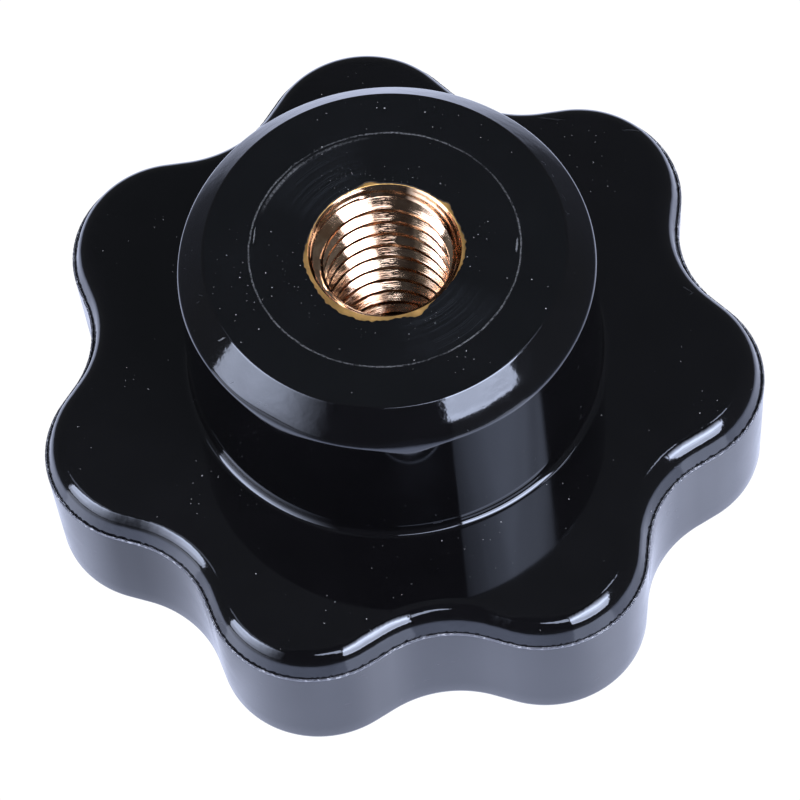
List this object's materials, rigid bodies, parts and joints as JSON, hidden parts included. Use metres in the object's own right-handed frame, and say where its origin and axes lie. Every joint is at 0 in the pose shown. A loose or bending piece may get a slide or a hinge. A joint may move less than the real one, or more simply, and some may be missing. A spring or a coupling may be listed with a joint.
{
  "type": "star knob",
  "caption": "Lobed black thermoset grip knob with a chamfered hub and a blind threaded brass bush, turned by hand to clamp or adjust.",
  "frame": {"origin": "centre of the flat underside, on the thread axis", "axes": "+Z along the thread axis, out through the hub; +X through the middle of one lobe"},
  "size_m": [0.0482, 0.0492, 0.0246],
  "materials": {
    "black_thermoset": "polished mould finish on the face and hub, satin on the side wall",
    "turned_brass": "bright machined thread, dull tan end face"
  },
  "bodies": {
    "root": {"knob_body": "black_thermoset", "threaded_insert": "turned_brass"}
  },
  "joints": []
}
